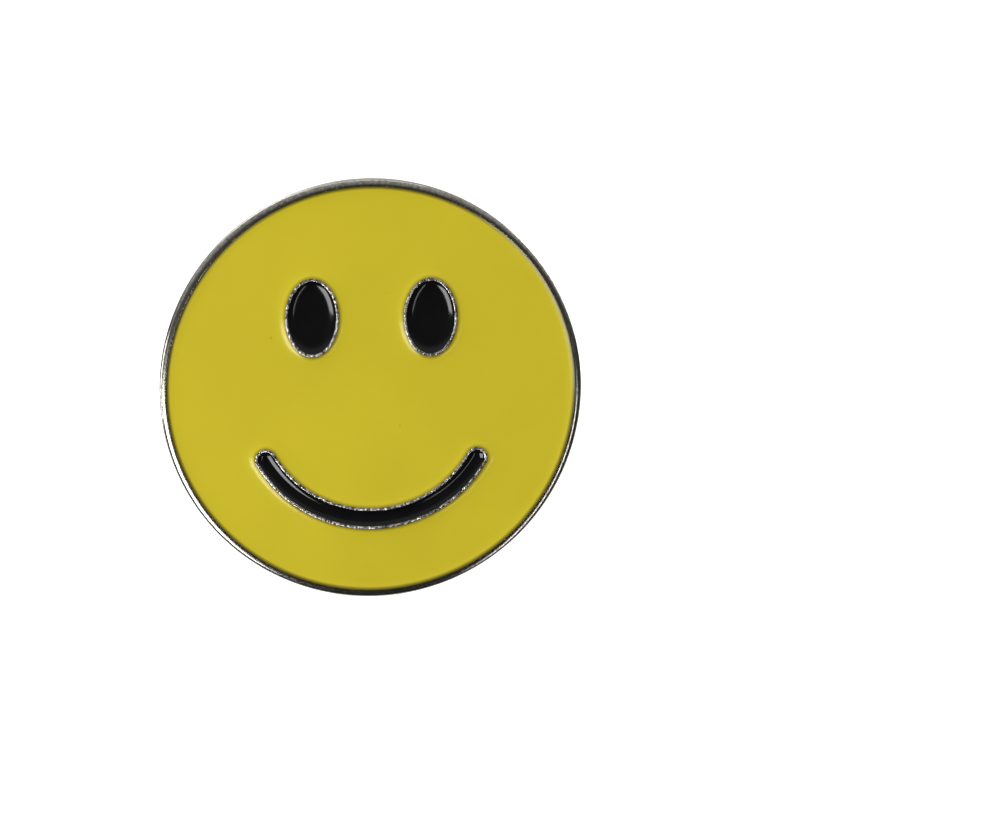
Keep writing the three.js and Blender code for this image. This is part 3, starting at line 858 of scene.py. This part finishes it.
def spring_strip():
    put_down()
    bpy.ops.mesh.primitive_plane_add(size=2, location=(0, STRIP_BOTTOM, 0),
                                     rotation=(-math.pi / 2, 0, 0))
    bpy.context.object.scale = (STRIP_REACH, STRIP_WIDTH / 2, 1)
    piece = named("spring_strip")
    open_mesh(piece)
    bpy.ops.mesh.select_all(action="SELECT")
    bpy.ops.mesh.bevel(offset=STRIP_CORNER, segments=5, profile=0.5, affect="VERTICES")
    bpy.ops.mesh.select_all(action="SELECT")
    bpy.ops.mesh.extrude_region_move(TRANSFORM_OT_translate={"value": (0, STRIP_SHEET, 0)})
    tidy_skin()
    put_down()
    bpy.ops.mesh.primitive_cylinder_add(
        vertices=64, radius=TUBE_HOLE_RADIUS, depth=2, location=(0, STRIP_BOTTOM, 0),
        rotation=(math.pi / 2, 0, 0))
    combine(piece, named("strip_hole"), "DIFFERENCE")
    open_mesh(piece)
    break_edges(piece, 50, 0.05, 2)
    put_down()
    give(piece, BRIGHT)
    smooth(piece, 40)
    on_post(piece, "clutch_cup", "spring_base", CLUTCH_TURN)


# A wing from its root to its tip, as (out, up, lean in degrees, inner side, outer side, bow).
# Its line follows the CAD wing's curve from the bend up to the shoulder.
WING_ROWS = (
    (-2.87, 2.53, 153, -1.55, 2.05, 0.0),
    (-3.1, 2.615, 130, -1.55, 2.05, 0.0),
    (-3.22, 2.8, 103, -1.55, 2.05, 0.0),
    (-3.225, 2.98, 82, -1.55, 2.05, 0.0),
    (-3.12, 3.2, 54, -1.54, 2.05, 0.0),
    (-2.892, 3.396, 33, -1.5, 2.06, 0.02),
    (-2.535, 3.575, 24, -1.42, 2.08, 0.08),
    (-2.168, 3.733, 23, -1.25, 2.1, 0.15),
    (-1.801, 3.892, 24.5, -0.92, 2.12, 0.21),
    (-1.5, 4.04, 29, -0.5, 2.13, 0.25),
    (-1.25, 4.185, 31, -0.05, 2.14, 0.27),
    (-1.03, 4.325, 32, 0.17, 2.15, 0.28),
    (-0.77, 4.495, 33.6, 0.22, 2.15, 0.28),
    (-0.68, 4.555, 34, 0.56, 2.15, 0.27),
    (-0.438, 4.721, 35.4, 0.56, 2.15, 0.26),
    (-0.117, 4.958, 37.6, 0.56, 2.15, 0.25),
    (0.197, 5.204, 38, 0.56, 2.15, 0.24),
    (0.509, 5.453, 40.4, 0.56, 2.15, 0.24),
    (0.782, 5.714, 47.8, 0.56, 2.16, 0.24),
    (0.95, 5.92, 56, 0.3, 2.17, 0.24),
    (1.029, 6.054, 62, -0.2, 2.19, 0.26),
    (1.104, 6.216, 68, -0.85, 2.22, 0.31),
    (1.178, 6.424, 72, -1.4, 2.26, 0.38),
    (1.235, 6.6, 74, -1.7, 2.29, 0.44),
    (1.31, 6.88, 74, -1.93, 2.3, 0.5),
    (1.402, 7.191, 70, -1.98, 2.28, 0.54),
    (1.52, 7.46, 62, -1.88, 2.18, 0.54),
    (1.68, 7.72, 55, -1.68, 1.98, 0.5),
    (1.87, 7.98, 51, -1.38, 1.68, 0.42),
    (2.04, 8.17, 50, -1.02, 1.32, 0.29),
    (2.17, 8.31, 51, -0.62, 0.92, 0.19),
    (2.25, 8.39, 52, -0.25, 0.55, 0.1),
)
WING_COLUMNS = 8
WING_SHEET = 0.28


def wing_strip(name):
    """A flat strip, bent row by row to the wing's line, then given its thickness and soft edges."""
    put_down()
    last = len(WING_ROWS) - 1
    bpy.ops.mesh.primitive_grid_add(
        x_subdivisions=WING_COLUMNS, y_subdivisions=last, size=1, rotation=(0, -math.pi / 2, 0))
    piece = named(name)
    open_mesh(piece)
    across = WING_COLUMNS + 1
    for row, (out, up, lean, inner, outer, bow) in enumerate(WING_ROWS):
        first = row * across
        start = row / last - 0.5
        choose(piece, "VERT", lambda vertex: first <= vertex.index < first + across)
        bpy.ops.transform.resize(value=(1, 1, outer - inner), center_override=(0, start, 0))
        bpy.ops.transform.translate(value=(out, up - start, (inner + outer) / 2))
        lift = Vector((-math.sin(math.radians(lean)), math.cos(math.radians(lean)), 0))
        for step in range(1, WING_COLUMNS // 2 + 1):
            share = 1 - (1 - 2 * step / WING_COLUMNS) ** 2
            pair = (first + step, first + WING_COLUMNS - step)
            choose(piece, "VERT", lambda vertex: vertex.index in pair)
            bpy.ops.transform.translate(value=lift * (share * bow))
    bpy.ops.mesh.select_all(action="SELECT")
    bpy.ops.mesh.normals_make_consistent(inside=False)
    put_down()
    apply_modifier(piece, "SOLIDIFY", thickness=WING_SHEET, offset=0, use_even_offset=True)
    open_mesh(piece)
    break_edges(piece, 55, 0.06, 2)
    bpy.ops.mesh.select_all(action="SELECT")
    bpy.ops.mesh.normals_make_consistent(inside=False)
    put_down()
    apply_modifier(piece, "SUBSURF", levels=2, render_levels=2)
    give(piece, BRIGHT)
    smooth(piece, 60)
    return piece


def wings():
    left = wing_strip("sprung_wing_left")
    take_up(left)
    bpy.ops.object.duplicate(linked=False)
    right = bpy.context.object
    right.name = right.data.name = "sprung_wing_right"
    on_post(left, "wing_left", "spring_wing_left", CLUTCH_TURN)
    on_post(right, "wing_right", "spring_wing_right", CLUTCH_TURN + math.pi)


struck_plate()
yellow_field()
black_cell("eye_left", "enamel_eye_left", EYE_SINK, EYE_RECESS)
black_cell("eye_right", "enamel_eye_right", EYE_SINK, EYE_RECESS)
black_cell("mouth", "enamel_mouth", MOUTH_SINK, MOUTH_RECESS)
post_and_point()
braze_fillet()
hub_eyelet()
cup_dish()
spring_strip()
wings()


# ---- Table, light and camera -----------------------------------------------------------------------

WHITE = (1, 1, 1, 1)
FLOOR_HALF = 6.0
SUN_STRENGTH = 1.25
SUN_SPREAD = math.radians(120)
SUN_TURN = (math.radians(50), 0, math.radians(-25))
LENS = 120.0
SENSOR = 36.0
CAMERA_DISTANCE = 0.2364
CAMERA_AZIMUTH = math.radians(-4)
CAMERA_ELEVATION = math.radians(9.5)
CAMERA_SHIFT = (0.1285, -0.0276)

# How bright the room looks, by how far up a direction points, from -1 straight down to 1.
FRONT_OF_ROOM = ((-1, 0.012), (-0.3, 0.02), (-0.1, 0.05), (0.03, 0.06), (0.22, 0.32), (1, 0.45))
BACK_OF_ROOM = ((-0.9, 0.6), (-0.3, 0.6), (-0.1, 0.05), (0.16, 0.08), (0.34, 0.58), (0.9, 0.5))


def table_top():
    put_down()
    bpy.ops.mesh.primitive_plane_add(size=2 * FLOOR_HALF, location=(0, 0, plate_low.z / METRE))
    top = bpy.context.object
    top.name = "table_top"
    material = bpy.data.materials.new("white_card")
    material.use_nodes = True
    shader = material.node_tree.nodes["Principled BSDF"]
    shader.inputs["Base Color"].default_value = (0.86, 0.86, 0.86, 1)
    shader.inputs["Roughness"].default_value = 0.9
    shader.inputs["Specular IOR Level"].default_value = 0
    shader.inputs["Emission Color"].default_value = WHITE
    shader.inputs["Emission Strength"].default_value = 0.8
    top.data.materials.append(material)
    top.visible_glossy = False
    top.visible_diffuse = False
    top.visible_shadow = False


def soft_box(name, place, width, height, radiance, glossy=True):
    """A flat lamp that faces the badge's middle, given by how bright its face looks."""
    lamp_data = bpy.data.lights.new(name, "AREA")
    lamp_data.shape = "RECTANGLE"
    lamp_data.size = width
    lamp_data.size_y = height
    lamp_data.energy = radiance * math.pi * width * height
    lamp = bpy.data.objects.new(name, lamp_data)
    lamp.location = place
    lamp.rotation_euler = (-Vector(place)).to_track_quat("-Z", "Y").to_euler()
    lamp.visible_camera = False
    lamp.visible_glossy = glossy
    bpy.context.scene.collection.objects.link(lamp)


def high_sun():
    """A wide, even light for the table and the face, which shows in no reflection."""
    sun_data = bpy.data.lights.new("high_sun", "SUN")
    sun_data.energy = SUN_STRENGTH
    sun_data.angle = SUN_SPREAD
    sun = bpy.data.objects.new("high_sun", sun_data)
    sun.rotation_euler = SUN_TURN
    sun.visible_glossy = False
    bpy.context.scene.collection.objects.link(sun)


def room():
    """Dark below and grey above in front, bright with a dark band behind, and white to look at."""
    world = bpy.data.worlds.new("studio_room")
    bpy.context.scene.world = world
    world.use_nodes = True
    nodes = world.node_tree.nodes
    links = world.node_tree.links
    nodes.clear()
    way = nodes.new("ShaderNodeTexCoord")
    split = nodes.new("ShaderNodeSeparateXYZ")
    links.new(way.outputs["Generated"], split.inputs[0])

    def height_ramp(stops):
        rise = nodes.new("ShaderNodeMapRange")
        rise.inputs["From Min"].default_value = -1
        ramp = nodes.new("ShaderNodeValToRGB")
        while len(ramp.color_ramp.elements) < len(stops):
            ramp.color_ramp.elements.new(0.5)
        for element, (height, level) in zip(ramp.color_ramp.elements, stops):
            element.position = (height + 1) / 2
            element.color = (level, level * 0.99, level * 0.97, 1)
        links.new(split.outputs["Z"], rise.inputs["Value"])
        links.new(rise.outputs["Result"], ramp.inputs["Fac"])
        return ramp.outputs["Color"]

    front = height_ramp(FRONT_OF_ROOM)
    back = height_ramp(BACK_OF_ROOM)
    behind = nodes.new("ShaderNodeMapRange")
    behind.inputs["From Min"].default_value = -0.25
    behind.inputs["From Max"].default_value = 0.35
    links.new(split.outputs["Y"], behind.inputs["Value"])
    mixed = nodes.new("ShaderNodeMix")
    mixed.data_type = "RGBA"
    links.new(behind.outputs["Result"], mixed.inputs["Factor"])
    links.new(front, mixed.inputs["A"])
    links.new(back, mixed.inputs["B"])
    seen = nodes.new("ShaderNodeLightPath")
    final = nodes.new("ShaderNodeMix")
    final.data_type = "RGBA"
    final.inputs["B"].default_value = WHITE
    links.new(seen.outputs["Is Camera Ray"], final.inputs["Factor"])
    links.new(mixed.outputs["Result"], final.inputs["A"])
    shade = nodes.new("ShaderNodeBackground")
    links.new(final.outputs["Result"], shade.inputs["Color"])
    out = nodes.new("ShaderNodeOutputWorld")
    links.new(shade.outputs["Background"], out.inputs["Surface"])


def camera():
    """Looks at the face from a little above and to the left, with the badge left of the middle."""
    back = Vector((
        math.sin(CAMERA_AZIMUTH) * math.cos(CAMERA_ELEVATION),
        -math.cos(CAMERA_AZIMUTH) * math.cos(CAMERA_ELEVATION),
        math.sin(CAMERA_ELEVATION),
    ))
    data = bpy.data.cameras.new("badge_camera")
    data.lens = LENS
    data.sensor_width = SENSOR
    data.shift_x, data.shift_y = CAMERA_SHIFT
    data.clip_start = 0.01
    data.clip_end = 20
    made = bpy.data.objects.new("badge_camera", data)
    face_middle = Vector((0, plate_low.y / METRE, 0))
    made.location = face_middle + back * CAMERA_DISTANCE
    made.rotation_euler = (-back).to_track_quat("-Z", "Y").to_euler()
    bpy.context.scene.collection.objects.link(made)
    bpy.context.scene.camera = made


table_top()
soft_box("left_low_box", (-0.15, -0.4, -0.17), 0.15, 0.2, 7)
soft_box("right_low_box", (0.15, -0.4, -0.17), 0.022, 0.2, 4)
soft_box("left_wall", (-0.36, -0.06, -0.03), 0.3, 0.16, 2.5)
soft_box("back_left_box", (-0.14, 0.4, 0.2), 0.16, 0.1, 4)
soft_box("back_right_box", (0.3, 0.25, 0.12), 0.08, 0.22, 5)
soft_box("overhead_box", (0.0, 0.12, 0.4), 0.3, 0.12, 1.2)
soft_box("left_fill", (-0.1, -0.09, 0.05), 0.05, 0.05, 9, glossy=False)
high_sun()
room()
camera()
bpy.context.scene.view_settings.view_transform = "Standard"
